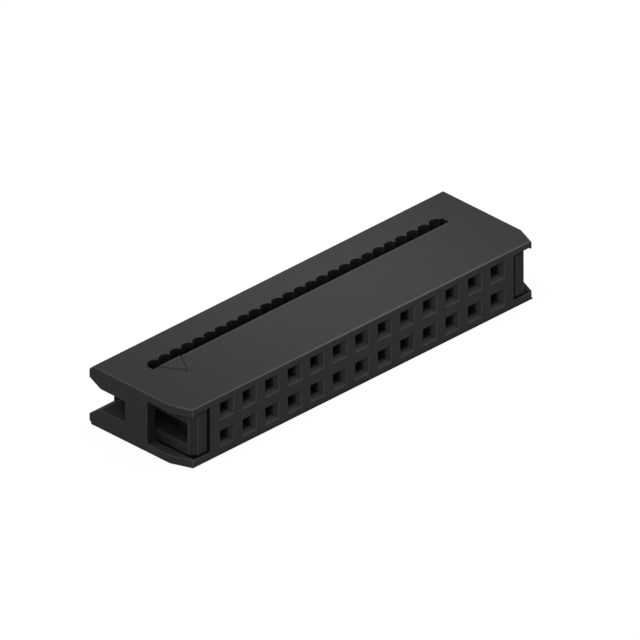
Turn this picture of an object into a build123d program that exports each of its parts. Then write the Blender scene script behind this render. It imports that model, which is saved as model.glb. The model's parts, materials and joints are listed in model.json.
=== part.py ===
from build123d import *
import math
import os

# Insulation-displacement socket for a flat ribbon cable, two rows of thirteen contacts on a
# 2.00 mm grid. A moulded body holds the contacts, and a moulded cover behind it presses the
# cable onto their rear forks. The cable runs through a slot between the two, top to bottom.
#
# X runs along the rows, Y from the mating face to the back, Z up. The origin is at the middle
# of the underside. All sizes are in millimetres.

# Contact grid
columns = 13
pitch = 2.0
row_spacing = 2.0

# Outer form
height = 4.14
body_depth = 5.40
cover_depth = 3.17
block_margin = 1.45
end_length = 2.18
corner_run = 1.48
corner_inset = 0.57
rim_radius = 0.14
back_chamfer = 0.22

# Ends of the body: two flanges over a sprung arm, in front of a full-height wall
end_wall_face = 3.46
flange_thickness = 0.53
groove_depth = 0.09
arm_inset = 0.78
arm_thickness = 1.19
arm_setback = 0.11
arm_clearance = 0.05
arm_corner_run = 0.42
arm_corner_inset = 0.40
arm_front_bar = 0.565
groove_clearance = 0.07
leg_height = 1.49
passage_skin = 0.74
catch_start = 2.57
catch_end = 1.37
catch_rise = 0.42
catch_step = 0.20
catch_clearance = 0.03

# Pin holes in the mating face
funnel_width = 1.22
funnel_depth = 0.28
pin_hole_width = 0.74
pin_hole_depth = 0.80
pin_width = 0.50
pin_clearance = 0.06

# Cable slot between body and cover
slot_width = 0.655
scallop_depth = 0.32
slot_run = 0.15

# Notches in the ends of the cover, for the legs of a strain relief
notch_lead_run = 0.97
notch_lead_rise = 0.50
notch_lead_drop = 0.62

# Pegs that hold the cover to the body
peg_width = 0.90
peg_thickness = 0.55
peg_length = 1.30
peg_taper = 0.10
peg_inset = 1.15
peg_clearance = 0.03

# Mark beside the first contact
mark_width = 1.97
mark_length = 1.60
mark_height = 0.06
mark_slope_run = 0.11
mark_offset = 0.28

# Contacts, stamped from strip
strip_thickness = 0.30
grip_width = 1.20
grip_gap = 0.42
grip_relief = 0.56
grip_mouth = 0.80
grip_mouth_length = 0.35
grip_throat_length = 0.55
tip_clearance = 0.08
base_front = 3.10
base_rear = 4.40
barb_length = 0.35
barb_height = 0.05
fork_width = 0.80
fork_reach = 1.95
fork_slot = 0.22
fork_slot_floor = 0.25
fork_mouth = 0.46
fork_mouth_length = 0.45
fork_corner = 0.12
pocket_clearance = 0.06

# Sizes that follow from those above
contact_count = 2 * columns
wire_pitch = pitch / 2
fork_offset = wire_pitch / 2
block_length = (columns - 1) * pitch + 2 * block_margin
length = block_length + 2 * end_length
depth = body_depth + cover_depth
half_length = length / 2
half_block = block_length / 2
front = -depth / 2
parting = front + body_depth
back = depth / 2
middle = height / 2
leg_half = leg_height / 2
cavity_fork_side = fork_offset + fork_width / 2 + barb_height
cavity_grip_side = grip_width / 2 + barb_height
cavity_half_height = pin_width / 2 + pin_clearance


def both_ends(shape):
    """The shape at the right-hand end and its mirror image at the left-hand end."""
    return [shape, mirror(shape, about=Plane.YZ)]


def plan(points, bottom, top):
    """A solid with the given outline in plan, between two heights."""
    face = make_face(Polyline(*points, close=True))
    return extrude(Pos(0, 0, bottom) * face, amount=top - bottom, dir=(0, 0, 1))


def in_front(edge):
    """True for an edge whose middle is in front of the long chamfer at the back."""
    return edge.center().Y < back - back_chamfer


def blank():
    """The outer form of body and cover together, with its upper rim rounded."""
    outline = [
        (-half_length, back),
        (-half_length, front + corner_run),
        (-half_length + corner_inset, front),
        (half_length - corner_inset, front),
        (half_length, front + corner_run),
        (half_length, back),
    ]
    form = plan(outline, 0, height)
    form = chamfer(form.edges().filter_by(Axis.X).group_by(Axis.Y)[-1], back_chamfer)
    upper_rim = form.edges().group_by(Axis.Z)[-1]
    return fillet(upper_rim.filter_by(in_front), rim_radius)


def end_channel():
    """The space between the flanges at the right-hand end, open to the front and the side."""
    groove_start = half_length - arm_inset + groove_clearance
    groove_half = middle - flange_thickness + groove_depth
    lip_half = middle - flange_thickness
    outside = half_length + groove_clearance
    section = Plane.XZ * make_face(Polyline(
        (half_block, middle - groove_half),
        (groove_start, middle - groove_half),
        (groove_start, middle - lip_half),
        (outside, middle - lip_half),
        (outside, middle + lip_half),
        (groove_start, middle + lip_half),
        (groove_start, middle + groove_half),
        (half_block, middle + groove_half),
        close=True,
    ))
    return extrude(Pos(0, front, 0) * section, amount=end_wall_face, dir=(0, 1, 0))


def arm():
    """The sprung arm at the right-hand end, a frame around a window for a strain relief's leg."""
    outer = half_length - arm_inset
    inner = outer - arm_thickness
    tip = front + arm_setback
    root = front + end_wall_face
    arm_half = middle - flange_thickness - arm_clearance
    outline = [
        (inner, root),
        (inner, tip),
        (outer - arm_corner_inset, tip),
        (outer, tip + arm_corner_run),
        (outer, root),
    ]
    bar = plan(outline, middle - arm_half, middle + arm_half)
    window = Plane.YZ * Pos((tip + arm_front_bar + root) / 2, middle) * Rectangle(
        root - tip - arm_front_bar, leg_height
    )
    return bar - extrude(Pos(inner, 0, 0) * window, amount=arm_thickness, dir=(1, 0, 0))


def leg_passage():
    """The way through the right-hand end wall from the cover's notch to the arm's window."""
    outer = half_length - passage_skin
    section = Plane.XZ * Pos((half_block + outer) / 2, middle) * Rectangle(
        outer - half_block, leg_height
    )
    return extrude(
        Pos(0, front + end_wall_face, 0) * section,
        amount=body_depth - end_wall_face,
        dir=(0, 1, 0),
    )


def catch():
    """The ramped catch on the right-hand side of the block, inside the arm's window."""
    outline = [
        (half_block + catch_step, front + catch_start),
        (half_block, front + catch_start),
        (half_block, front + catch_end),
        (half_block + catch_rise, front + catch_end),
    ]
    half = leg_half - catch_clearance
    return plan(outline, middle - half, middle + half)


def grid():
    """The place of every contact, in counting order: first column first, upper row first."""
    for column in range(columns):
        x = (column - (columns - 1) / 2) * pitch
        yield x, middle + row_spacing / 2, 1
        yield x, middle - row_spacing / 2, -1


def pin_hole(x, z, side):
    """Lead-in, square hole and chamber for one contact; side is 1 in the upper row."""
    mouth = Pos(x, front, z) * (Plane.XZ * Rectangle(funnel_width, funnel_width))
    throat = Pos(x, front + funnel_depth, z) * (Plane.XZ * Rectangle(pin_hole_width, pin_hole_width))
    hole = extrude(throat, amount=pin_hole_depth - funnel_depth, dir=(0, 1, 0))
    chamber = Plane.XZ * Pos(x + side * (cavity_grip_side - cavity_fork_side) / 2, z) * Rectangle(
        cavity_grip_side + cavity_fork_side, 2 * cavity_half_height
    )
    chamber = extrude(
        Pos(0, front + pin_hole_depth, 0) * chamber,
        amount=body_depth - pin_hole_depth,
        dir=(0, 1, 0),
    )
    return loft([mouth.face(), throat.face()]) + hole + chamber


def jaw_middles():
    """The heights of the middles of the two jaws, below and above the notch."""
    return (height - leg_height) / 4, (3 * height + leg_height) / 4


def pegs():
    """The lower and upper pegs at the right-hand end of the cover, tapered at their tips."""
    section = Plane.XZ * Rectangle(peg_width, peg_thickness)
    shapes = []
    for z in jaw_middles():
        placed = Pos(half_length - peg_inset, parting - peg_length, z) * section
        bar = extrude(placed, amount=peg_length, dir=(0, 1, 0))
        shapes.append(chamfer(bar.faces().sort_by(Axis.Y)[0].edges(), peg_taper))
    return shapes


def peg_sockets():
    """The lower and upper holes at the right-hand end of the body, which the pegs fill."""
    section = Plane.XZ * Rectangle(peg_width + 2 * peg_clearance, peg_thickness + 2 * peg_clearance)
    reach = peg_length + peg_clearance
    return [
        extrude(Pos(half_length - peg_inset, parting - reach, z) * section, amount=reach, dir=(0, 1, 0))
        for z in jaw_middles()
    ]


def first_contact_mark():
    """The raised triangle on top, with its base on the edge of the cable slot and sloped sides."""
    centre = -(columns - 1) / 2 * pitch + mark_offset
    side_length = math.hypot(mark_width / 2, mark_length)

    def triangle(inset, z):
        half_width = mark_width / 2 - inset * side_length / mark_length
        reach = mark_length - inset * side_length / (mark_width / 2)
        corners = [
            (centre - half_width, parting),
            (centre + half_width, parting),
            (centre, parting - reach),
        ]
        return Pos(0, 0, z) * make_face(Polyline(*corners, close=True))

    return loft([triangle(0, height).face(), triangle(mark_slope_run, height + mark_height).face()])


def body(form):
    """The moulded body: grid of pin holes, flanged ends, sprung arms and catches."""
    shape = split(form, bisect_by=Plane.XZ.offset(-parting), keep=Keep.TOP)
    shape -= both_ends(end_channel())
    shape += both_ends(arm())
    shape -= both_ends(leg_passage())
    shape += both_ends(catch())
    shape -= [pin_hole(*place) for place in grid()]
    for socket in peg_sockets():
        shape -= both_ends(socket)
    return shape + first_contact_mark()


def cable_recess():
    """The cover's half of the cable slot, with one round scallop for each wire."""
    scallop_radius = ((wire_pitch / 2) ** 2 + scallop_depth**2) / (2 * scallop_depth)
    wire_line = parting + slot_width + scallop_depth - scallop_radius
    half = contact_count * wire_pitch / 2
    straight = Pos(0, parting + slot_width / 2) * Rectangle(2 * (half + slot_run), slot_width)
    scallops = [
        Pos((wire - (contact_count - 1) / 2) * wire_pitch, wire_line) * Circle(scallop_radius)
        for wire in range(contact_count)
    ]
    return extrude(straight + scallops, amount=height, dir=(0, 0, 1))


def notch():
    """The notch in the right-hand end of the cover, open to the back and the side."""
    section = Plane.YZ * make_face(Polyline(
        (parting, middle - leg_half),
        (back - notch_lead_run, middle - leg_half),
        (back, middle - leg_half - notch_lead_drop),
        (back, middle + leg_half + notch_lead_rise),
        (back - notch_lead_run, middle + leg_half),
        (parting, middle + leg_half),
        close=True,
    ))
    return extrude(Pos(half_block, 0, 0) * section, amount=end_length, dir=(1, 0, 0))


def fork_pocket(x, z, side):
    """The pocket in the cover that takes the tips of one contact's rear fork."""
    reach = fork_reach + pocket_clearance
    section = Plane.XZ * Pos(x - side * fork_offset, z) * Rectangle(
        fork_width + 2 * pocket_clearance, strip_thickness + 2 * pocket_clearance
    )
    return extrude(Pos(0, parting, 0) * section, amount=reach, dir=(0, 1, 0))


def cover(form):
    """The moulded cover: scalloped cable recess, fork pockets, end notches and pegs."""
    shape = split(form, bisect_by=Plane.XZ.offset(-parting), keep=Keep.BOTTOM)
    shape -= both_ends(notch())
    shape -= cable_recess()
    shape -= [fork_pocket(*place) for place in grid()]
    for peg in pegs():
        shape += both_ends(peg)
    return shape


def contact(x, z, side):
    """One stamped contact: a fork that grips the pin, a barbed base and a fork for the wire."""
    tip = front + pin_hole_depth + tip_clearance
    rear_tip = parting + fork_reach
    grip_root = front + base_front
    fork_root = front + base_rear
    throat = tip + grip_mouth_length
    blank_left = -fork_offset - fork_width / 2
    blank_right = grip_width / 2
    base = Pos((blank_left + blank_right) / 2, (grip_root + fork_root) / 2) * Rectangle(
        blank_right - blank_left, fork_root - grip_root
    )
    barbs = Pos((blank_left + blank_right) / 2, grip_root + barb_length / 2) * Rectangle(
        blank_right - blank_left + 2 * barb_height, barb_length
    )
    grip = Pos(0, (tip + grip_root) / 2) * Rectangle(grip_width, grip_root - tip)
    fork = Pos(-fork_offset, (fork_root + rear_tip) / 2) * Rectangle(fork_width, rear_tip - fork_root)
    fork = chamfer(fork.vertices().group_by(Axis.Y)[-1], fork_corner)
    grip_opening = make_face(Polyline(
        (-grip_mouth / 2, tip),
        (grip_mouth / 2, tip),
        (grip_gap / 2, throat),
        (grip_relief / 2, throat + grip_throat_length),
        (grip_relief / 2, grip_root),
        (-grip_relief / 2, grip_root),
        (-grip_relief / 2, throat + grip_throat_length),
        (-grip_gap / 2, throat),
        close=True,
    ))
    slot_end = fork_root + fork_slot_floor
    mouth_start = rear_tip - fork_mouth_length
    wire_slot = make_face(Polyline(
        (-fork_slot / 2, slot_end),
        (fork_slot / 2, slot_end),
        (fork_slot / 2, mouth_start),
        (fork_mouth / 2, rear_tip),
        (-fork_mouth / 2, rear_tip),
        (-fork_slot / 2, mouth_start),
        close=True,
    ))
    stamping = base + barbs + grip + fork - grip_opening - Pos(-fork_offset, 0) * wire_slot
    blade = extrude(Pos(0, 0, -strip_thickness / 2) * stamping, amount=strip_thickness, dir=(0, 0, 1))
    if side < 0:
        blade = mirror(blade, about=Plane.YZ)
    return Pos(x, 0, z) * blade


def write(shape, name):
    """Writes one piece to its own file."""
    export_step(shape, f"parts/{name}.step")


os.makedirs("parts", exist_ok=True)
outer_form = blank()
write(body(outer_form), "body")
write(cover(outer_form), "cover")
for number, place in enumerate(grid(), start=1):
    write(contact(*place), f"contact_{number:02d}")
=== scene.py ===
# %% [markdown]
# # A ribbon-cable socket in black plastic
#
# This lesson dresses a finished model of a small cable socket: a black moulded body and cover
# with twenty-six stamped contacts inside. The shapes and sizes are settled before this script
# starts, so nothing here moves or resizes them. The work is in what a maker calls finish: broken
# edges, the grain of the mould, the plating on the metal, and light that shows them.
#
# The first step clears away the things that a new Blender file starts with and loads the model.

import json
import math
from functools import cached_property

import bpy
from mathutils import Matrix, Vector

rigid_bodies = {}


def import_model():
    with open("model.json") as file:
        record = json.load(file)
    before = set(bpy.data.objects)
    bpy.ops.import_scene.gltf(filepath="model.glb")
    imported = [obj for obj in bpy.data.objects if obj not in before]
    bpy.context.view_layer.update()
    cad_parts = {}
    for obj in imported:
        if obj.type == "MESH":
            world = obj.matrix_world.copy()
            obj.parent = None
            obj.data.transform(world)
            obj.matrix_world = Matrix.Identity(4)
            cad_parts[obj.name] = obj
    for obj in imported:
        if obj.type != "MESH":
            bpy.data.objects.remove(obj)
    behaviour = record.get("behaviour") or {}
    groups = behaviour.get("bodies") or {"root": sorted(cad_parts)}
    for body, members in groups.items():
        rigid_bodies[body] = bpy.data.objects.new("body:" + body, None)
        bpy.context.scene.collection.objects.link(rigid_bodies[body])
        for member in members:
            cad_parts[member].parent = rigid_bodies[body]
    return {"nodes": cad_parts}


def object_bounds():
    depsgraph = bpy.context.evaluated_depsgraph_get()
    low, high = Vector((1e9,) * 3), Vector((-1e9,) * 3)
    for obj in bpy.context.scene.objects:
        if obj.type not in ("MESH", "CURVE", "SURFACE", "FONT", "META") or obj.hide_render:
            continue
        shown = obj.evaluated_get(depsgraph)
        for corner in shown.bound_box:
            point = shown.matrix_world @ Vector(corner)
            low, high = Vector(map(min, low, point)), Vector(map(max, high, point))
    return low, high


for thing in list(bpy.data.objects):
    bpy.data.objects.remove(thing)
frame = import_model()
cad_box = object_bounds()
nodes = frame["nodes"]
contact_names = sorted(name for name in nodes if name.startswith("contact"))
MM = 0.001
print("pieces:", len(nodes), "of which contacts:", len(contact_names))
print("size in mm:", [round((high - low) / MM, 2) for low, high in zip(*cad_box)])

# %% [markdown]
# ## Shader maths as plain expressions
#
# A material in Blender is a graph of nodes, and sums in it are nodes too. Wiring each sum by
# hand hides what is meant. The small class below wraps one socket of a graph, so that `1 - mask`
# or `grain * 0.3` in Python adds the Math nodes and their links. A comparison such as `x < 2` is
# a sum too: it gives 1 where it holds and 0 elsewhere, which makes it a mask.

# %% A socket that can be added and multiplied
class Value:
    """One number in a shader, which grows Math nodes when it is used in a sum."""

    def __init__(self, graph, socket):
        self.graph = graph
        self.socket = socket

    def sum(self, operation, *numbers):
        """A Math node of one operation on the given numbers."""
        return self.graph.number("ShaderNodeMath", {"operation": operation}, dict(enumerate(numbers)))

    def __add__(self, other):
        return self.sum("ADD", self, other)

    def __radd__(self, other):
        return self.sum("ADD", other, self)

    def __sub__(self, other):
        return self.sum("SUBTRACT", self, other)

    def __rsub__(self, other):
        return self.sum("SUBTRACT", other, self)

    def __mul__(self, other):
        return self.sum("MULTIPLY", self, other)

    def __rmul__(self, other):
        return self.sum("MULTIPLY", other, self)

    def __truediv__(self, other):
        return self.sum("DIVIDE", self, other)

    def __gt__(self, other):
        return self.sum("GREATER_THAN", self, other)

    def __lt__(self, other):
        return self.sum("LESS_THAN", self, other)

    def __abs__(self):
        return self.sum("ABSOLUTE", self)

    def within(self, low, high):
        """The same number, held between two limits."""
        return self.sum("MINIMUM", self.sum("MAXIMUM", self, low), high)

    def repeated(self, step):
        """The distance to the nearest multiple of the step, negative below it."""
        return self.sum("FLOORED_MODULO", self + step / 2, step) - step / 2


def largest(first, *others):
    """The largest of several numbers at each point, which joins masks into one."""
    for other in others:
        first = first.sum("MAXIMUM", first, other)
    return first


print("a value can:", [name.strip("_") for name in vars(Value) if callable(getattr(Value, name))])

# %% [markdown]
# ## One way to add any other node
#
# Every other node comes from one method. It takes the node's type, then its settings, such as
# the kind of data that it mixes, and then what goes into its sockets. Settings come first,
# because some of them change which sockets a node has.

# %% A graph of nodes
class Graph:
    """The nodes of one material, world or modifier."""

    def __init__(self, tree):
        self.tree = tree
        self.tree.nodes.clear()

    def node(self, kind, settings=None, sockets=None):
        """Adds a node, then its settings, then its socket values and links."""
        made = self.tree.nodes.new(kind)
        for name, setting in (settings or {}).items():
            setattr(made, name, setting)
        for name, content in (sockets or {}).items():
            self.feed(made.inputs[name], content)
        return made

    def feed(self, socket, content):
        """Links a socket to another node, or sets its value."""
        if isinstance(content, Value):
            content = content.socket
        if isinstance(content, bpy.types.NodeSocket):
            self.tree.links.new(content, socket)
        else:
            socket.default_value = content

    def number(self, kind, settings=None, sockets=None, output=0):
        """Adds a node and returns one of its outputs as a number that can be used in sums."""
        return Value(self, self.node(kind, settings, sockets).outputs[output])


def own_graph(owner):
    """The graph of a material or a world, emptied first."""
    owner.use_nodes = True
    return Graph(owner.node_tree)


print("a graph can:", [name for name in vars(Graph) if not name.startswith("_")])

# %% [markdown]
# ## Points, colours and shaders
#
# A point and a colour are three numbers at once, and a Math node would turn them into one. So
# points go through Vector Math and colours through Mix. The Mix node has a pair of sockets for
# each kind of data, all called A and B, and the colour pair is found by number: 6 and 7, with 2
# for what comes out. Whole shaders are mixed by a node of their own.

# %% Helpers for points, colours and shaders
def in_mm(graph, point):
    """A place in metres, turned into millimetres."""
    sockets = {"Vector": point, "Scale": 1 / MM}
    return graph.node("ShaderNodeVectorMath", {"operation": "SCALE"}, sockets).outputs["Vector"]


def stretched(graph, point, factors):
    """The same point with its axes stretched or squeezed, for streaks."""
    sockets = {0: point, 1: factors}
    return graph.node("ShaderNodeVectorMath", {"operation": "MULTIPLY"}, sockets).outputs["Vector"]


def split(graph, point):
    """The three parts of a point or a direction, as numbers."""
    parts = graph.node("ShaderNodeSeparateXYZ", None, {"Vector": point})
    return [Value(graph, parts.outputs[axis]) for axis in "XYZ"]


def grey(level):
    """A plain grey, black at 0 and white at 1."""
    return (level, level, level, 1)


def colour_between(graph, share, first, second):
    """A colour between two others, all of the second where the share is 1."""
    mixed = graph.node("ShaderNodeMix", {"data_type": "RGBA"}, {0: share, 6: first, 7: second})
    return mixed.outputs[2]


def blend(graph, share, first, second):
    """A shader between two others, all of the second where the share is 1."""
    sockets = {"Fac": share, 1: first.outputs[0], 2: second.outputs[0]}
    return graph.node("ShaderNodeMixShader", None, sockets)


def finish(graph, shader, kind="ShaderNodeOutputMaterial"):
    """Puts a shader on the surface, or behind everything in a world."""
    graph.node(kind, None, {"Surface": shader.outputs[0]})
    return len(graph.tree.nodes)


print("a mid grey as a colour:", grey(0.5))

# %% [markdown]
# ## Distances on the part
#
# Several finishes below, and the shade and highlights painted into the plastic's colour, treat
# an area by where it is: the pin holes, the cable slot, the mark on top. Their limits come from
# the model's own boxes, so they move with it when it changes size.
# The body ends where the cover begins, and the cover has no mark on top, so its box gives the
# height of the top face.

# %% Measures of the model
def box_in_mm(piece):
    """The lowest and the highest corner of a piece, in millimetres."""
    return [
        [edge(corner[axis] for corner in piece.bound_box) / MM for axis in range(3)]
        for edge in (min, max)
    ]


body_low, body_high = box_in_mm(nodes["body"])
cover_high = box_in_mm(nodes["cover"])[1]
half_mm = body_high[0]
front_mm = body_low[1]
parting_mm = body_high[1]
back_mm = cover_high[1]
top_mm = cover_high[2]
middle_mm = top_mm / 2
print("parting at y in mm:", round(parting_mm, 2), "top at z in mm:", round(top_mm, 2))

# %% [markdown]
# A spot knows how far it lies from each of these faces. The part is the same at both ends, and
# nearly so above and below its middle, so the distances from the end and from the middle are
# alike on both sides. Each distance is worked out when it is first asked for and then kept,
# which saves nodes.

# %% A spot and its distances
class Spot:
    """A point on a piece, in millimetres, and its distances from the part's faces."""

    def __init__(self, graph, point):
        self.x, self.y, self.z = split(graph, in_mm(graph, point))

    @cached_property
    def from_end(self):
        """How far in from the nearer end."""
        return half_mm - abs(self.x)

    @cached_property
    def from_face(self):
        """How far behind the mating face."""
        return self.y - front_mm

    @cached_property
    def past_parting(self):
        """How far behind the face where the body meets the cover."""
        return self.y - parting_mm

    @cached_property
    def from_back(self):
        """How far in front of the back."""
        return back_mm - self.y

    @cached_property
    def off_middle(self):
        """How far above or below the middle."""
        return abs(self.z - middle_mm)

    @cached_property
    def below_top(self):
        """How far below the top face."""
        return top_mm - self.z


print("a spot knows:", [name for name in vars(Spot) if not name.startswith("_")])

# %% [markdown]
# ## Where the pin holes and the cable slot are
#
# Each mask is a product of comparisons. Multiplying them keeps the places where all of them
# hold. A hair, about 0.01 mm, is added or taken off where a face lies just on a limit, so that
# the whole face falls on one side. The pin holes repeat every 2 mm, and so the place inside a
# hole's mouth is the distance to the nearest multiple of that.

# %% Masks for the holes and the slot
HAIR_MM = 0.01
PITCH_MM = 2.0
END_MM = 2.18
SLOT_MM = 1.1
HOLES_REACH_MM = 1.75


def in_holes(spot):
    """1 among the pin holes, from the mating face to where the body ends."""
    inside = (spot.past_parting < -2 * HAIR_MM) * (spot.off_middle < HOLES_REACH_MM)
    return inside * (spot.from_end > END_MM)


def in_mouth(spot):
    """The place inside the nearest pin hole's mouth, from its middle, sideways and upwards."""
    above_row = spot.z - middle_mm - PITCH_MM / 2
    return spot.x.repeated(PITCH_MM), above_row.repeated(PITCH_MM)


def in_slot(spot):
    """1 in the cable slot, seen from above."""
    inside = (spot.past_parting > -2 * HAIR_MM) * (spot.past_parting < SLOT_MM)
    return inside * (spot.from_end > END_MM)


print("pin holes between x in mm:", round(END_MM - half_mm, 2), "and", round(half_mm - END_MM, 2))

# %% [markdown]
# ## Shade painted into the pin holes
#
# Little light falls into a narrow hole, so its shade is painted into the colour. A funnel starts
# almost as pale as the face, and the painted dark grows quickly behind it, a little later on the
# hole's floor, which still catches light from outside. The upper corner of each funnel gets a
# painted shadow, and the left-hand one a little. Each darkness is a share of painted shade, from 0
# for the plain plastic to 1 for the blackest.

# %% Darkness of the pin holes
FUNNEL_MM = 0.28
MOUTH_HALF_MM = 0.61
THROAT_HALF_MM = 0.37
UPPER_CORNER_MM = 0.085
SIDE_CORNER_MM = 0.10
FACES_UP = 0.5
FUNNEL_SHADE = 0.14
PASSAGE_SHADE = 0.28
PASSAGE_GROWTH = 0.25
HOLE_LIMIT = 0.97
LIT_DEPTH = 1.8
FLOOR_LIGHT = 0.6
UPPER_CORNER_SHADE = 0.48
SIDE_CORNER_SHADE = 0.20


def inward(spot):
    """How deep a spot lies in a pin hole: 0 at the mating face and 1 where the funnel ends."""
    return (spot.from_face - HAIR_MM) / FUNNEL_MM


def hole_darkness(spot, upward):
    """How much shade is painted in the pin holes, from the funnel to the passage's far end."""
    depth = inward(spot)
    lit_floor = (upward > FACES_UP) * (LIT_DEPTH - depth).within(0.0, LIT_DEPTH - 1) * FLOOR_LIGHT
    passage = (depth > 1.0) * (PASSAGE_SHADE + depth * PASSAGE_GROWTH - lit_floor)
    return in_holes(spot) * largest(passage, depth * FUNNEL_SHADE).within(0.0, HOLE_LIMIT)


def corner_darkness(spot):
    """How much shadow is painted in the upper and the left-hand corners of the funnels."""
    depth = inward(spot)
    sideways, upwards = in_mouth(spot)
    wall = MOUTH_HALF_MM - depth * (MOUTH_HALF_MM - THROAT_HALF_MM)
    upper = (upwards > wall - UPPER_CORNER_MM) * UPPER_CORNER_SHADE
    left = (sideways < SIDE_CORNER_MM - wall) * SIDE_CORNER_SHADE
    return in_holes(spot) * (depth > 0.0) * (depth < 1.0) * largest(upper, left)


print("funnel's slope:", round((MOUTH_HALF_MM - THROAT_HALF_MM) / FUNNEL_MM, 2))

# %% [markdown]
# ## Shade painted into the cable slot
#
# The slot runs right through the part, from top to bottom, and the cable fills it when it is in
# use. Little light reaches down into it, so its walls are painted nearly black just under the top
# face, and a little blacker with each millimetre of depth.

# %% Darkness of the cable slot
SLOT_START_MM = 0.05
SLOT_SHADE = 0.84
SLOT_GROWTH = 0.10
SLOT_LIMIT = 0.94


def slot_darkness(spot):
    """How much shade is painted in the cable slot, from just under the top face down."""
    walls = (spot.below_top > SLOT_START_MM) * (SLOT_SHADE + spot.below_top * SLOT_GROWTH)
    return (in_slot(spot) * walls).within(0.0, SLOT_LIMIT)


print("depth in mm at which the slot is darkest:", round((SLOT_LIMIT - SLOT_SHADE) / SLOT_GROWTH, 2))

# %% [markdown]
# ## Gaps round the arms
#
# At each end a sprung arm stands between two flanges. It grips the leg of a strain relief, a
# bracket that holds the cable. The mould leaves a narrow gap between the arm and the pin holes,
# a groove above and below the arm, so that it can flex, and a way through to the cover for the
# leg. All three are deep and thin, so little light gets in, and shade is painted into them as
# nearly black.

# %% Masks for the ends
FLANGE_MM = 0.53
GROOVE_MM = 0.09
END_WALL_MM = 3.46
ARM_MM = 0.78
ARM_INNER_MM = 1.97
ARM_TIP_MM = 0.11
LEG_HALF_MM = 0.745
PASSAGE_SKIN_MM = 0.74
GAP_SHADE = 0.92
lip_half_mm = middle_mm - FLANGE_MM


def between_flanges(spot):
    """1 between the flanges, outside the block of pin holes and in front of the cover."""
    outside = (spot.from_end < END_MM + HAIR_MM) * (spot.past_parting < -HAIR_MM)
    return outside * (spot.off_middle < lip_half_mm + GROOVE_MM + HAIR_MM / 2)


def gap_darkness(spot):
    """How much shade is painted in the gaps by and under the arms and the way through to the cover."""
    narrow = (spot.from_end > ARM_INNER_MM - HAIR_MM) * (spot.from_face > ARM_TIP_MM - HAIR_MM / 2)
    groove = (spot.off_middle > lip_half_mm + HAIR_MM / 2) * (spot.from_face > ARM_TIP_MM + HAIR_MM)
    groove = groove * (spot.from_end > ARM_MM - 2 * HAIR_MM)
    passage = (spot.from_face > END_WALL_MM + HAIR_MM) * (spot.off_middle < LEG_HALF_MM - HAIR_MM)
    passage = passage * (spot.from_end > PASSAGE_SKIN_MM - 2 * HAIR_MM)
    return between_flanges(spot) * largest(narrow, groove, passage) * GAP_SHADE


print("arm from the end in mm:", ARM_MM, "to", ARM_INNER_MM, "between flanges at", round(lip_half_mm, 2))

# %% [markdown]
# ## The arms and their windows
#
# An arm lies back from the end, between the flanges, and has a window for the leg. Its tip is
# nearly as pale as the outside. Its outer face has painted shade, growing towards the wall that
# it springs from and towards the flanges, which shade it. The window's inside has more painted
# shade than the face, and the most where the catch stands in it.

# %% Darkness of the arms
ARM_CORNER_MM = 0.42
ARM_BAR_MM = 0.565
ARM_HALF_MM = 1.49
ARM_EDGE_MM = 0.05
DARKER_ALONG_MM = (0.9, 3.5)
DARKER_ACROSS_MM = (0.9, 1.5)
CATCH_MM = 1.7
CATCH_FRONT_MM = 1.2
ARM_SHADE = 0.20
ARM_ROOT_SHADE = 0.45
ARM_FOOT_SHADE = 0.15
ARM_EDGE_SHADE = 0.35
WINDOW_SHADE = 0.38
WINDOW_GROWTH = 0.16
CATCH_SHADE = 0.75
STEP_SHADE = 0.60


def ramp(value, start, end):
    """0 up to a start, 1 from an end on, and a straight rise between them."""
    return ((value - start) / (end - start)).within(0.0, 1.0)


def arm_darkness(spot):
    """How much shade is painted on the arms' outer faces, more towards the end walls and flanges."""
    tip_end = ARM_TIP_MM + ARM_CORNER_MM
    tip = (spot.from_face > ARM_TIP_MM - HAIR_MM) * (spot.from_face < tip_end + HAIR_MM)
    outer = (spot.from_end > ARM_MM - HAIR_MM) * largest(tip, spot.from_end < ARM_MM + HAIR_MM)
    root = ramp(spot.from_face, *DARKER_ALONG_MM) * ARM_ROOT_SHADE
    foot = ramp(spot.off_middle, *DARKER_ACROSS_MM) * ARM_FOOT_SHADE
    edge = (spot.off_middle > ARM_HALF_MM - ARM_EDGE_MM) * ARM_EDGE_SHADE
    return between_flanges(spot) * outer * (ARM_SHADE + root + foot + edge)


def window_darkness(spot):
    """How much shade is painted in the arms' windows and on the steps behind the arms."""
    inside = (spot.from_end > ARM_MM + HAIR_MM) * (spot.off_middle < LEG_HALF_MM + HAIR_MM)
    inside = inside * (spot.from_face > ARM_TIP_MM + ARM_BAR_MM - HAIR_MM)
    inside = inside * (WINDOW_SHADE + (spot.from_end - ARM_MM) * WINDOW_GROWTH)
    catch = (spot.from_end > CATCH_MM) * (spot.off_middle < LEG_HALF_MM - HAIR_MM)
    catch = catch * (spot.from_face > CATCH_FRONT_MM)
    step = (abs(spot.from_face - END_WALL_MM) < HAIR_MM) * (spot.off_middle < lip_half_mm - HAIR_MM)
    return between_flanges(spot) * largest(inside, catch * CATCH_SHADE, step * STEP_SHADE)


print("arms darken from the mating face, between mm:", DARKER_ALONG_MM)

# %% [markdown]
# ## The notches in the cover
#
# The cover has a notch in each end, which leads the leg of the strain relief to the passage. It
# is open to the side and to the back, where its upper and lower walls slope apart. Shade is
# painted into it: it grows inwards, and the slopes and the wall at the notch's inner end are
# painted darker than the rest. These two are told apart by the way they face: the walls straight
# along the part, the slopes mostly up or down.

# %% Darkness of the notches
NOTCH_START_MM = 0.3
NOTCH_HALF_MM = 1.5
NOTCH_SLOPE = 0.84
SLOPE_RANGE = 0.1
SQUARE_ON = 0.9
NOTCH_SHADE = 0.10
NOTCH_GROWTH = 0.40 / END_MM
NOTCH_SLOPE_SHADE = 0.40
NOTCH_WALL_SHADE = 0.35


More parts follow.
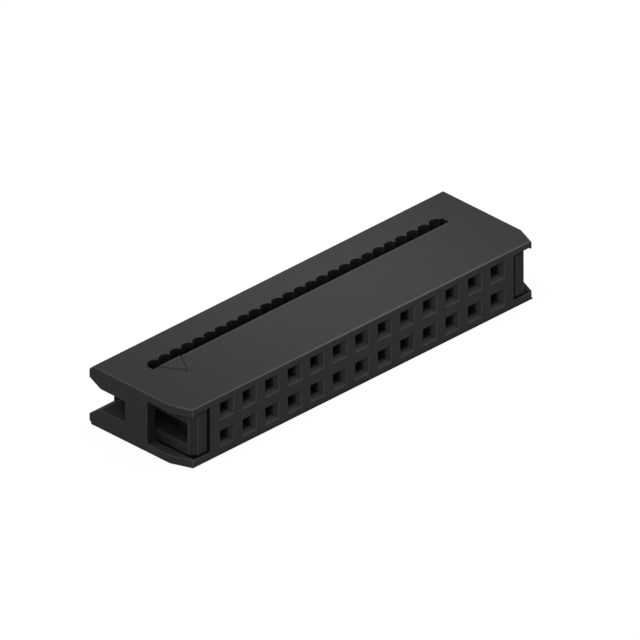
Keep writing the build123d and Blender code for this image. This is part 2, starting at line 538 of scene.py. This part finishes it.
def notch_darkness(spot, across, upward):
    """How much shade is painted inside the cover's notches."""
    inside = (spot.past_parting > NOTCH_START_MM) * (spot.from_back > HAIR_MM)
    inside = inside * (spot.off_middle < NOTCH_HALF_MM)
    inside = inside * (spot.from_end > HAIR_MM) * (spot.from_end < END_MM + HAIR_MM)
    slopes = (abs(abs(upward) - NOTCH_SLOPE) < SLOPE_RANGE) * NOTCH_SLOPE_SHADE
    walls = (abs(across) > SQUARE_ON) * NOTCH_WALL_SHADE
    return inside * (NOTCH_SHADE + spot.from_end * NOTCH_GROWTH + slopes + walls)


print("slope of the notches in degrees:", round(math.degrees(math.acos(NOTCH_SLOPE)), 1))

# %% [markdown]
# ## The raised mark
#
# A triangle stands on the top face beside the first contact, so that nobody puts the cable on
# the wrong way round. A fine line of shade is painted round its foot, in the sharp inner corner
# of the moulding. The triangle's flat top is found in the model's own corners, and the distance
# beyond its two slanting sides tells the crease from the slope and from the flat.

# %% The mark's foot
MARK_SLOPE_MM = 0.11
MARK_RISE_MM = 0.05
MARK_START_MM = 3.5
CREASE_MM = 0.07
CREASE_SHADE = 0.75


def crest():
    """The middle, the tip and the half width of the flat top of the mark, in millimetres."""
    spots = [vertex.co / MM for vertex in nodes["body"].data.vertices]
    raised = [spot for spot in spots if spot.z > top_mm + MARK_RISE_MM]
    left = min(spot.x for spot in raised)
    right = max(spot.x for spot in raised)
    return (left + right) / 2, min(spot.y for spot in raised), (right - left) / 2


def beyond_crest(spot):
    """How far a spot lies outside the two slanting sides of the mark's flat top."""
    middle, tip, half_width = crest()
    side = math.hypot(parting_mm - tip, half_width)
    sideways = abs(spot.x - middle) * ((parting_mm - tip) / side)
    return sideways - (spot.y - tip) * (half_width / side)


def crease_darkness(spot):
    """How much shade is painted in the crease round the foot of the mark."""
    beyond = beyond_crest(spot)
    crease = (beyond > MARK_SLOPE_MM - HAIR_MM) * (beyond < MARK_SLOPE_MM + CREASE_MM)
    on_top = (abs(spot.below_top) < 2 * HAIR_MM) * (spot.past_parting < 0.0)
    return crease * on_top * (spot.from_face > MARK_START_MM) * CREASE_SHADE


print("mark's flat top, middle, tip and half width:", [round(number, 2) for number in crest()])

# %% [markdown]
# ## Painted highlight on the rim, and painted shade lines
#
# The rounded rim along the top is painted palest, as a highlight where light catches it, a little
# less so at the two ends. It is found by its slope: its surface faces up, but not straight up.
# Right at the near edge of the cable slot, and along the back of the top, a thin line of shade is
# painted.

# %% Painted highlight and shade lines
SKIN_MM = 0.005
LIP_INSET_MM = 0.2
NEAR_LINE_MM = 0.045
NEAR_LINE_SHADE = 0.90
BACK_LINE_MM = 0.07
BACK_LINE_SHADE = 0.35
RIM_MM = 0.16
RIM_END_MM = 0.2
RIM_SLOPES = (0.6, 0.98)
RIM_END_SLOPE = 0.14
RIM_END_DIMMER = 0.20


def along_slot(spot):
    """1 on the top face, over the length of the slot but for its two ends."""
    return (spot.below_top < SKIN_MM) * (spot.from_end > END_MM + LIP_INSET_MM)


def lip_darkness(spot):
    """How much shade is painted on the line at the slot's near edge and along the back of the top."""
    near = (spot.past_parting > -NEAR_LINE_MM) * (spot.past_parting < HAIR_MM / 10)
    back = (spot.from_back < BACK_LINE_MM) * (spot.below_top < SKIN_MM)
    return largest(along_slot(spot) * near * NEAR_LINE_SHADE, back * BACK_LINE_SHADE)


def rim_highlight(spot, upward):
    """How much painted highlight the rounded rim round the top takes."""
    at_end = spot.from_end < RIM_END_MM
    rim = (spot.below_top < RIM_MM) * (spot.below_top > -HAIR_MM / 10)
    rim = rim * (upward > RIM_SLOPES[0] + at_end * RIM_END_SLOPE) * (upward < RIM_SLOPES[1])
    return rim * (1 - at_end * RIM_END_DIMMER)


print("slope of the rim in degrees:", [round(math.degrees(math.acos(up))) for up in RIM_SLOPES])

# %% [markdown]
# Painted highlight goes on a few more places, weaker than on the rim: the funnels' lower slopes,
# most at their outer edge, lines along the slot's lips, and, only a little, the mark's top edge.

# %% Other painted highlights
NEAR_HIGHLIGHT_MM = 0.09
CREST_EDGE_MM = 0.07
FAR_LIP_START_MM = 0.3
FAR_LIP_MM = 0.05
FUNNEL_HIGHLIGHT = 0.5
CREST_HIGHLIGHT = 0.14
NEAR_LIP_HIGHLIGHT = 0.35
FAR_LIP_HIGHLIGHT = 0.8


def other_highlights(spot, upward):
    """How much highlight is painted on the funnels' lower slopes, the mark's top edge and the slot's
    lips.
    """
    slope = in_holes(spot) * (upward > FACES_UP) * (1 - inward(spot)).within(0.0, 1.0)
    beyond = beyond_crest(spot)
    crest_edge = (beyond > -CREST_EDGE_MM) * (beyond < 0.0) * (spot.below_top < -MARK_RISE_MM)
    near_lip = along_slot(spot) * (abs(spot.past_parting + NEAR_HIGHLIGHT_MM) < NEAR_LINE_MM)
    far_lip = in_slot(spot) * (spot.past_parting > FAR_LIP_START_MM)
    far_lip = far_lip * (spot.below_top < FAR_LIP_MM) * (spot.below_top > HAIR_MM / 10)
    slope = largest(slope * FUNNEL_HIGHLIGHT, crest_edge * CREST_HIGHLIGHT)
    return largest(slope, near_lip * NEAR_LIP_HIGHLIGHT, far_lip * FAR_LIP_HIGHLIGHT)


print("rubbed line along the slot, from its near edge in mm:", NEAR_HIGHLIGHT_MM)

# %% [markdown]
# ## Noise and bumps
#
# Modelled, detail that is much finer than the part would take millions of faces, so it comes
# from noise in the material. Here noise is counted in blobs to a millimetre. Finer noise is
# laid over it in layers, and a bump turns its height into a tilt of the surface.

# %% Noise and bumps
SOFT_LAYERS = 2.0
CRISP_LAYERS = 3.0


def noise(graph, point, per_mm, layers=SOFT_LAYERS, harshness=0.5):
    """Cloudy noise from 0 to 1, with about this many blobs to a millimetre."""
    sockets = {"Vector": point, "Scale": per_mm, "Detail": layers, "Roughness": harshness}
    return graph.number("ShaderNodeTexNoise", None, sockets, "Fac")


def bump(graph, height, strength, depth_mm):
    """A normal that is tilted by a height, for the shader's Normal socket."""
    sockets = {"Height": height, "Strength": strength, "Distance": depth_mm * MM}
    return graph.node("ShaderNodeBump", None, sockets).outputs["Normal"]


print("layers of noise, soft and crisp:", SOFT_LAYERS, CRISP_LAYERS)

# %% [markdown]
# ## The black plastic
#
# The body and the cover are moulded in black glass-filled plastic. The mould leaves a very fine
# even grain, and the glass in the plastic makes the surface a little cloudy, with faint streaks
# along the way it flowed. The grain is a bump, and the clouds and the streaks are small changes
# of roughness and colour.
#
# The colour is mixed in two steps: from plain to a paler grey by how much painted highlight a
# place takes, and then to black by how much painted shade it takes. The material is made twice,
# once plain and once with painted highlight nearly all over, for the broken edges.

# %% Black plastic
PLAIN = ((0.0355, 0.0355, 0.0358, 1), (0.048, 0.048, 0.0483, 1))
# The second pair is a paler grey, painted on as highlight along the rims, the broken edges and the lips.
HIGHLIGHT_GREYS = ((0.091, 0.091, 0.0915, 1), (0.105, 0.105, 0.1055, 1))
# Near black, painted in as shade in the holes, the slot, the gaps, the notches and the creases.
PAINTED_SHADE_BLACK = grey(0.003)
GRAIN_PER_MM = 26.0
CLOUDS_PER_MM = 0.9
STREAKS_PER_MM = 2.2
FLOW = (0.12, 1.3, 1.3)
CLOUD_SHARE = 0.65
PATCH_ROUGHNESS = 0.22
GRAIN_ROUGHNESS = 0.10
GRAIN_HARSHNESS = 0.6
GRAIN_STRENGTH = 0.35
GRAIN_MM = 0.004


def painted_shade_share(spot, across, upward):
    """How far the plastic goes to black as painted shade, by the darkest place that a spot is in."""
    return largest(
        hole_darkness(spot, upward),
        corner_darkness(spot),
        slot_darkness(spot),
        gap_darkness(spot),
        arm_darkness(spot),
        window_darkness(spot),
        notch_darkness(spot, across, upward),
        crease_darkness(spot),
        lip_darkness(spot),
    )


def plastic(name, worn, rough, sheen):
    """Moulded plastic with grain, clouds and flow streaks, plain or pale with painted highlight."""
    material = bpy.data.materials.new(name)
    graph = own_graph(material)
    place = graph.node("ShaderNodeTexCoord").outputs["Object"]
    spot = Spot(graph, place)
    facing = graph.node("ShaderNodeNewGeometry").outputs["True Normal"]
    across, _, upward = split(graph, facing)
    point = in_mm(graph, place)
    grain = noise(graph, point, GRAIN_PER_MM, CRISP_LAYERS, GRAIN_HARSHNESS)
    cloud = noise(graph, point, CLOUDS_PER_MM)
    streak = noise(graph, stretched(graph, point, FLOW), STREAKS_PER_MM, CRISP_LAYERS)
    patch = cloud * CLOUD_SHARE + streak * (1 - CLOUD_SHARE)
    # How much painted highlight a place takes: on the rim, the lips, the funnel slopes and the mark.
    highlight_share = largest(rim_highlight(spot, upward), worn, other_highlights(spot, upward))
    plain = colour_between(graph, patch, *PLAIN)
    rubbed = colour_between(graph, patch, *HIGHLIGHT_GREYS)
    shade = colour_between(graph, highlight_share, plain, rubbed)
    shader = graph.node("ShaderNodeBsdfPrincipled", None, {
        "Base Color": colour_between(graph, painted_shade_share(spot, across, upward), shade, PAINTED_SHADE_BLACK),
        "Roughness": rough + (patch - 0.5) * PATCH_ROUGHNESS + (grain - 0.5) * GRAIN_ROUGHNESS,
        "Normal": bump(graph, grain, GRAIN_STRENGTH, GRAIN_MM),
        "Specular IOR Level": sheen,
    })
    print(name, "nodes:", finish(graph, shader))
    return material


black_plastic = plastic("black_plastic", worn=0.0, rough=0.80, sheen=0.08)
# The second material is pale nearly all over, a painted highlight for the bevels' faces.
rubbed_plastic = plastic("rubbed_plastic", worn=0.85, rough=0.70, sheen=0.10)

# %% [markdown]
# ## The plated contacts
#
# Each contact is stamped from thin copper-alloy strip. The end that touches the pin is plated
# with gold, and the rear end that bites into the wire is plated with tin, which costs less. The
# change happens along the contact, so the colour follows its place from front to back. The very
# tip is darker: the strip is plated before it is cut, so the cut end is bare metal, and its
# near-black colour is also painted shade, for the tip sits deep in a dark pin hole. Tin is
# duller than gold.

# %% Plated strip
TIP_MM = 0.92
CHANGE_MM = 3.6
WAVES_PER_MM = 1.6
CHANGE_WAVE_MM = 0.3
CHANGE_STEEPNESS = 6.0
ROLLING = (14.0, 0.6, 14.0)
LINES_PER_MM = 2.0
LINES_STRENGTH = 0.15
LINES_MM = 0.003
GOLD_ROUGHNESS = 0.24
LINES_ROUGHNESS = 0.12
TIN_DULLER = 0.30
GOLD = ((0.80, 0.55, 0.20, 1), (0.95, 0.70, 0.30, 1))
TIN = ((0.52, 0.51, 0.49, 1), (0.66, 0.65, 0.63, 1))
# Near-black tip: bare cut metal, and painted shade for a tip deep in its hole.
CUT_END_AND_SHADE = (0.05, 0.035, 0.02, 1)


def plated_strip(name):
    """Gold at the front and tin at the back, with the fine lines of rolled strip."""
    material = bpy.data.materials.new(name)
    graph = own_graph(material)
    point = in_mm(graph, graph.node("ShaderNodeTexCoord").outputs["Object"])
    depth = split(graph, point)[1] - front_mm
    wave = (noise(graph, point, WAVES_PER_MM) - 0.5) * CHANGE_WAVE_MM
    tin = ((depth - CHANGE_MM + wave) * CHANGE_STEEPNESS + 0.5).within(0.0, 1.0)
    lines = noise(graph, stretched(graph, point, ROLLING), LINES_PER_MM)
    gold_shade = colour_between(graph, lines, *GOLD)
    gold_shade = colour_between(graph, depth < TIP_MM, gold_shade, CUT_END_AND_SHADE)
    tin_shade = colour_between(graph, lines, *TIN)
    shader = graph.node("ShaderNodeBsdfPrincipled", None, {
        "Base Color": colour_between(graph, tin, gold_shade, tin_shade),
        "Roughness": GOLD_ROUGHNESS + lines * LINES_ROUGHNESS + tin * TIN_DULLER,
        "Metallic": 1.0,
        "Normal": bump(graph, lines, LINES_STRENGTH, LINES_MM),
    })
    print(name, "nodes:", finish(graph, shader))
    return material


contact_metal = plated_strip("plated_strip")

# %% [markdown]
# ## Broken edges
#
# No moulded edge is perfectly sharp, and it is the thin line of light along a rounded edge that
# makes a black part readable. But the edges are not all alike. The outer rims are the roundest,
# the edges of the pin holes and of the cable slot stay crisp, and where body and cover meet there
# is hardly a line to see. So geometry nodes work out a share for each edge from its place, and
# store it under the name that the Bevel modifier looks for. The angle between the two faces of an
# edge comes with a sign, and only outer corners have a positive one: an inner corner of a
# moulding is left sharp, or a light line would run along it.

# %% A share of the bevel for each edge
SHARP = math.radians(32)
PLAIN_SHARE = 0.6
LIP_SHARE = 0.45
SLOT_SHARE = 0.1
LIP_SIDE_MM = 0.5
PLAIN_BACK_MM = 0.3


def edge_shares():
    """Geometry nodes that store each edge's share of the bevel's width."""
    tree = bpy.data.node_groups.new("edge_shares", "GeometryNodeTree")
    graph = Graph(tree)
    for way in ("INPUT", "OUTPUT"):
        tree.interface.new_socket("Geometry", in_out=way, socket_type="NodeSocketGeometry")
    spot = Spot(graph, graph.node("GeometryNodeInputPosition").outputs["Position"])
    turn = graph.number("GeometryNodeInputMeshEdgeAngle", None, None, "Signed Angle")
    upwards = in_mouth(spot)[1]
    apart = abs(spot.past_parting) > 2 * HAIR_MM
    flanges = spot.off_middle > lip_half_mm + 4 * HAIR_MM
    lips = in_holes(spot) * (spot.from_face < 2 * HAIR_MM) * (upwards < LIP_SIDE_MM)
    lips = lips * (LIP_SHARE + (1 - LIP_SHARE) * (upwards < -LIP_SIDE_MM))
    share = (PLAIN_SHARE + (1 - PLAIN_SHARE) * flanges) * (1 - in_holes(spot)) + lips
    gap_sides = between_flanges(spot) * (spot.from_end > ARM_INNER_MM - HAIR_MM)
    share = share * (1 - (1 - SLOT_SHARE) * in_slot(spot)) * (1 - gap_sides)
    share = share * (spot.z > 2 * HAIR_MM) * (spot.below_top > -SKIN_MM)
    share = share * (spot.from_back > PLAIN_BACK_MM)
    kept = graph.node("GeometryNodeStoreNamedAttribute", {"data_type": "FLOAT", "domain": "EDGE"}, {
        "Geometry": graph.node("NodeGroupInput").outputs["Geometry"],
        "Name": "bevel_weight_edge",
        "Value": (turn > SHARP) * apart * share,
    })
    graph.node("NodeGroupOutput", None, {"Geometry": kept.outputs["Geometry"]})
    print("edge share nodes:", len(tree.nodes))
    return tree


housing_edges = edge_shares()

# %% [markdown]
# The model arrives as triangles, so the steps are: join the corners that meet, dissolve the flat
# faces into whole ones, then bevel what is still an edge. These are modifiers, so the model
# underneath stays as it was. The bevel's own faces take the piece's second finish, which on the
# plastic is the pale one with painted highlight, so the light line along each edge is partly
# painted. The shading of the big flat faces is kept straight, so that only the bevels look round.

# %% Bevel the edges
JOIN_MM = 0.0005
FLAT = math.radians(0.4)
HOUSING_EDGE_MM = 0.042
STRIP_EDGE_MM = 0.02


def break_edges(piece, width_mm, segments, shares=None):
    """Rounds a piece's edges, all alike or by their shares."""
    weld = piece.modifiers.new("join corners", "WELD")
    weld.merge_threshold = JOIN_MM * MM
    flats = piece.modifiers.new("whole faces", "DECIMATE")
    flats.decimate_type = "DISSOLVE"
    flats.angle_limit = FLAT
    if shares:
        rule = piece.modifiers.new("edge shares", "NODES")
        rule.node_group = shares
    bevel = piece.modifiers.new("broken edges", "BEVEL")
    bevel.width = width_mm * MM
    bevel.segments = segments
    bevel.limit_method = "WEIGHT" if shares else "ANGLE"
    bevel.angle_limit = SHARP
    bevel.use_clamp_overlap = False
    bevel.harden_normals = True
    # The bevel's faces take the second finish: on the plastic, the pale one with painted highlight.
    bevel.material = 1


def face_count(piece):
    """How many faces a piece has once its modifiers have run."""
    shown = piece.evaluated_get(bpy.context.evaluated_depsgraph_get())
    return len(shown.data.polygons)


def dress(piece, *finishes):
    """Gives a piece its own finishes in place of those it came with."""
    piece.data.materials.clear()
    for material in finishes:
        piece.data.materials.append(material)


for name in ("body", "cover"):
    dress(nodes[name], black_plastic, rubbed_plastic)
    break_edges(nodes[name], HOUSING_EDGE_MM, 2, housing_edges)
    print(name, "faces:", face_count(nodes[name]))
for name in contact_names:
    dress(nodes[name], contact_metal, contact_metal)
    break_edges(nodes[name], STRIP_EDGE_MM, 1)
print("contact faces:", face_count(nodes[contact_names[0]]))

# %% [markdown]
# ## The contact shadow
#
# Right under the part, and in a strip less than a tenth of a millimetre wide round its foot,
# little light reaches a real sheet of paper. There the floor is painted dark, as a thin contact
# shadow. The strip follows the part's outline in plan: two ends, the front, the back and the
# slanting corners. It is narrowest at the two ends, and at the corners it is halfway between.

# %% Outline of the foot
FOOT_MM = 0.075
FOOT_END_MM = 0.03
BACK_CHAMFER_MM = 0.2
CORNER_RUN_MM = 1.48
CORNER_INSET_MM = 0.57


def beyond_foot(spot):
    """How far a spot lies outside the part's foot, plus what the strip is narrower there."""
    narrower = FOOT_MM - FOOT_END_MM
    slant = (CORNER_INSET_MM - spot.from_end) * CORNER_RUN_MM - spot.from_face * CORNER_INSET_MM
    slant = slant / math.hypot(CORNER_RUN_MM, CORNER_INSET_MM) + narrower / 2
    front = front_mm - spot.y
    behind = BACK_CHAMFER_MM - spot.from_back
    return largest(narrower - spot.from_end, front, behind, slant)


print("strip's width in mm, at the front:", FOOT_MM, "and at the ends:", FOOT_END_MM)

# %% [markdown]
# ## Floor and background
#
# The photograph has a plain white background. A white sheet under strong light would throw that
# light back onto the part, so the floor is a mid grey for light that bounces, and what the
# camera sees, or a reflection, is lifted to white by a glow. The Light Path node tells the
# material who is looking. The floor is still lit and shaded, so the part keeps its soft shadow.

# %% Floor
WHITE = grey(1)
FLOOR_GREY = grey(0.44)
LIFTED_GREY = grey(0.17)
GLOW = 0.92
# Painted shadow at the part's foot, where the floor is not lifted to white.
PAINTED_SHADOW_GREY = grey(0.025)
FLOOR_REACH = 2.0
FLOOR_DROP = 0.01 * MM


def seen_directly(graph):
    """1 where the camera, a reflection or a clear piece looks, and 0 for light that bounces."""
    path = graph.node("ShaderNodeLightPath")
    ways = ("Is Camera Ray", "Is Glossy Ray", "Is Transmission Ray")
    return largest(*(Value(graph, path.outputs[way]) for way in ways))


def floor_material():
    """Pale matt floor, lifted to white for whoever looks at it, but not where the part stands."""
    material = bpy.data.materials.new("pale_floor")
    graph = own_graph(material)
    spot = Spot(graph, graph.node("ShaderNodeTexCoord").outputs["Object"])
    matt = graph.node("ShaderNodeBsdfDiffuse", None, {"Color": FLOOR_GREY})
    faint = graph.node("ShaderNodeBsdfDiffuse", None, {"Color": LIFTED_GREY})
    glow = graph.node("ShaderNodeEmission", None, {"Color": WHITE, "Strength": GLOW})
    lifted = graph.node("ShaderNodeAddShader", None, {0: faint.outputs[0], 1: glow.outputs[0]})
    dark = graph.node("ShaderNodeBsdfDiffuse", None, {"Color": PAINTED_SHADOW_GREY})
    shown = blend(graph, beyond_foot(spot) < FOOT_MM, lifted, dark)
    print("floor nodes:", finish(graph, blend(graph, seen_directly(graph), matt, shown)))
    return material


def floor(reach, drop):
    """A large flat floor just under the part."""
    mesh = bpy.data.meshes.new("floor")
    corners = [(x * reach, y * reach, -drop) for x, y in ((-1, -1), (1, -1), (1, 1), (-1, 1))]
    mesh.from_pydata(corners, [], [(0, 1, 2, 3)])
    piece = bpy.data.objects.new("floor", mesh)
    bpy.context.scene.collection.objects.link(piece)
    piece.data.materials.append(floor_material())
    return piece


floor(FLOOR_REACH, FLOOR_DROP)

# %% [markdown]
# The world does two jobs in the same way. Whoever looks past the floor sees plain white, and the
# part is lit by a dimmer white from all sides, at a level at which a colour comes out about as
# it is written.

# %% World
WORLD_LEVEL = 0.37


def studio_world(level):
    """A white world to look at, which lights the part at the given level."""
    world = bpy.data.worlds.new("studio")
    bpy.context.scene.world = world
    graph = own_graph(world)
    light = graph.node("ShaderNodeBackground", None, {"Color": WHITE, "Strength": level})
    backdrop = graph.node("ShaderNodeBackground", None, {"Color": WHITE, "Strength": 1.0})
    return finish(graph, blend(graph, seen_directly(graph), light, backdrop), "ShaderNodeOutputWorld")


print("world nodes:", studio_world(WORLD_LEVEL), "light level:", WORLD_LEVEL)

# %% [markdown]
# ## Lamps
#
# Four soft lamps do the work of a studio. A small one close overhead makes the top the lightest
# face, and brightest in the middle. A weak broad fill from the front left lifts the mating face
# and the near end. The last two stand at the right front and at the left back, about forty
# degrees up, and model the rims and the slopes of the funnels without throwing hard shadows.

# %% Soft lamps
LAMPS = {
    "overhead": ((0.18, 0.09, 1.0), 0.025, 0.012, 0.0033),
    "fill": ((-0.71, -0.57, 0.42), 0.30, 0.16, 0.188),
    "right_front": ((0.61, -0.50, 0.61), 0.30, 0.08, 0.071),
    "left_back": ((-0.50, 0.61, 0.61), 0.30, 0.08, 0.071),
}


def soft_lamp(name, direction, distance, size, watts):
    """A square area lamp that looks at the part from a direction, with its sizes in metres."""
    data = bpy.data.lights.new(name, "AREA")
    data.size = size
    data.energy = watts
    lamp = bpy.data.objects.new(name, data)
    bpy.context.scene.collection.objects.link(lamp)
    towards = Vector(direction).normalized()
    lamp.location = towards * distance
    lamp.rotation_euler = towards.to_track_quat("Z", "Y").to_euler()


for name, settings in LAMPS.items():
    soft_lamp(name, *settings)

# %% [markdown]
# ## Camera
#
# The photograph is a parallel view: edges that are parallel on the part stay parallel in the
# picture, and its far end is as tall as its near end. In Blender that is an orthographic camera.
# It looks down at thirty degrees from the front left. One measured point, the near top corner,
# fixes where the part sits in the picture, and the picture's scale fixes the width of the view.

# %% Orthographic camera
AZIMUTH = math.radians(-45)
ELEVATION = math.radians(30)
PICTURE = 640
PIXELS_PER_MM = 15.935
CORNER_PIXEL = (186.0, 413.8)
CAMERA_DISTANCE = 0.25
NEAREST_SEEN = 0.001
FURTHEST_SEEN = 10


def view_axes(azimuth, elevation):
    """The directions to the right, up and back towards the camera."""
    back = Vector((
        math.sin(azimuth) * math.cos(elevation),
        -math.cos(azimuth) * math.cos(elevation),
        math.sin(elevation),
    ))
    right = Vector((math.cos(azimuth), math.sin(azimuth), 0))
    return right, back.cross(right), back


def place_camera():
    """Sets up the camera so that the near top corner falls on its pixel."""
    right, up, back = view_axes(AZIMUTH, ELEVATION)
    pixel = MM / PIXELS_PER_MM
    corner = Vector((cad_box[0][0], cad_box[0][1], top_mm * MM))
    to_right, down = [(place - PICTURE / 2) * pixel for place in CORNER_PIXEL]
    data = bpy.data.cameras.new("camera")
    data.type = "ORTHO"
    data.ortho_scale = PICTURE * pixel
    data.clip_start = NEAREST_SEEN
    data.clip_end = FURTHEST_SEEN
    camera = bpy.data.objects.new("camera", data)
    bpy.context.scene.collection.objects.link(camera)
    camera.location = corner - right * to_right + up * down + back * CAMERA_DISTANCE
    camera.rotation_euler = back.to_track_quat("Z", "Y").to_euler()
    bpy.context.scene.camera = camera
    print("view width in mm:", round(data.ortho_scale / MM, 2))


place_camera()
bpy.context.scene.view_settings.view_transform = "Standard"

# %% [markdown]
